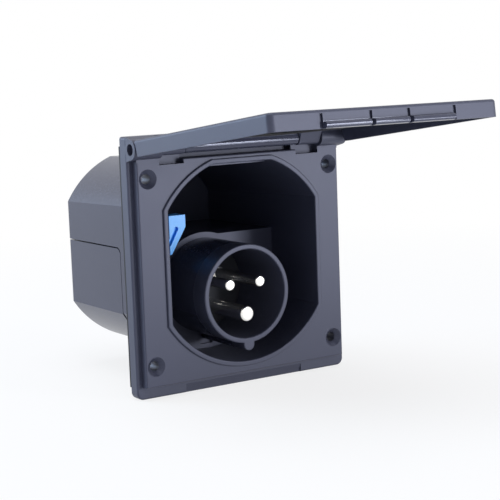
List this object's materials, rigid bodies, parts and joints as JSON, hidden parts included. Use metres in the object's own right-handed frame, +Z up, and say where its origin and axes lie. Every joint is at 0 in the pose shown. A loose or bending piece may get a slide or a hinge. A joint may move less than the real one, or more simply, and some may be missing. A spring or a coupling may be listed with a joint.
{
  "type": "recessed power inlet",
  "caption": "Recessed power inlet for a wall: square flange, deep pot, round shroud with contact pins, release lever and a hinged lid that stands open.",
  "frame": {"origin": "middle of the four fixing holes, on the back face of the flange", "axes": "+X to the right seen from the front, +Y into the wall, +Z up; the front and the contact pins face -Y"},
  "size_m": [0.1092, 0.2024, 0.1238],
  "materials": {
    "black_plastic": "fine-grained satin moulding",
    "carrier_plastic": "plain matt moulding",
    "blue_plastic": "glossy",
    "plated_brass": "bright nickel plating",
    "steel": "zinc plated",
    "rubber": "matt"
  },
  "bodies": {
    "inlet": {"housing": "black_plastic", "wall_gasket": "rubber", "hinge_pin_left": "steel", "hinge_pin_right": "steel", "contact_carrier": "carrier_plastic", "line_pin": "plated_brass", "neutral_pin": "plated_brass", "earth_pin": "plated_brass", "terminal_screws": "steel", "carrier_screws": "steel", "terminal_cover": "black_plastic", "cover_screws": "steel", "cable_grommet": "rubber", "cord_clamp": "carrier_plastic", "cord_clamp_screws": "steel", "latch_pin": "steel", "latch_spring": "steel"},
    "lid": {"lid": "black_plastic", "lid_seal": "rubber"},
    "latch": {"latch_lever": "blue_plastic"}
  },
  "joints": [
    {"name": "lid_hinge", "type": "hinge", "parent": "inlet", "child": "lid", "pos_m": [0, -0.0089, 0.0529], "axis": [1, 0, 0], "range_deg": [0, 97]},
    {"name": "latch_press", "type": "hinge", "parent": "inlet", "child": "latch", "pos_m": [-0.031, 0.0155, 0.0144], "axis": [0, 1, 0], "range_deg": [0, 15], "stiffness_Nm_per_rad": 0.03, "springref_deg": -30, "deforming": ["latch_spring"]}
  ]
}
